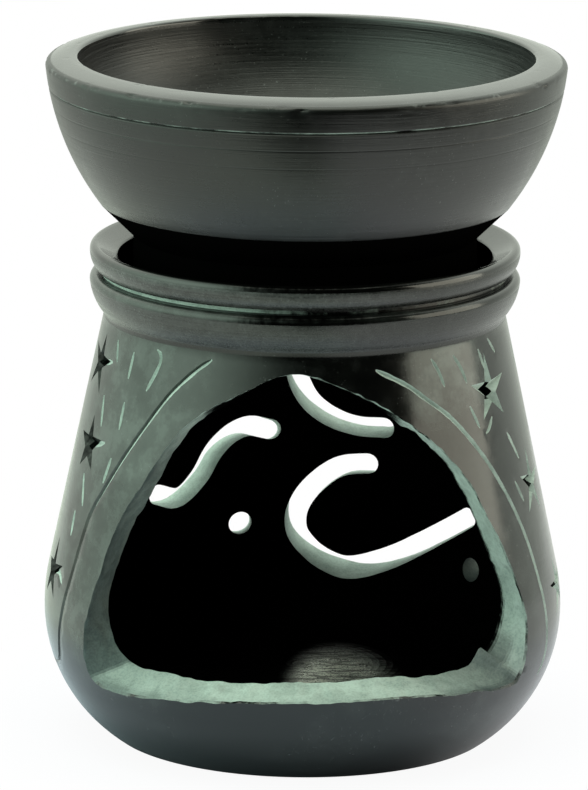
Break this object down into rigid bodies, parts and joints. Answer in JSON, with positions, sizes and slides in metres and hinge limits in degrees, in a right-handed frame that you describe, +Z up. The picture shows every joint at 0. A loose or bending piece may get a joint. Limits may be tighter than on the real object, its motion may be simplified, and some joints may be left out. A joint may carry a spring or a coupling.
{
  "type": "soapstone oil burner",
  "caption": "Turned and carved soapstone oil burner: a hollow lamp body with an arched front opening for a tealight and a pierced rear, and a loose oil bowl that drops into its collar.",
  "frame": {"origin": "centre of the flat base, on the surface that the lamp stands on", "axes": "+Z up along the turning axis, -Y towards the front with the arched opening, +X to the right seen from the front"},
  "size_m": [0.0756, 0.0754, 0.1],
  "materials": {
    "body_stone": "blackened and polished soapstone, pale grey-green where it is carved",
    "bowl_stone": "blackened and polished soapstone with fine turning lines"
  },
  "bodies": {
    "lamp_body": {"lamp_body": "body_stone"},
    "oil_bowl": {"oil_bowl": "bowl_stone"}
  },
  "joints": [
    {"name": "bowl_lift", "type": "slide", "parent": "lamp_body", "child": "oil_bowl", "axis": [0, 0, 1], "range_m": [0, 0.05]}
  ]
}
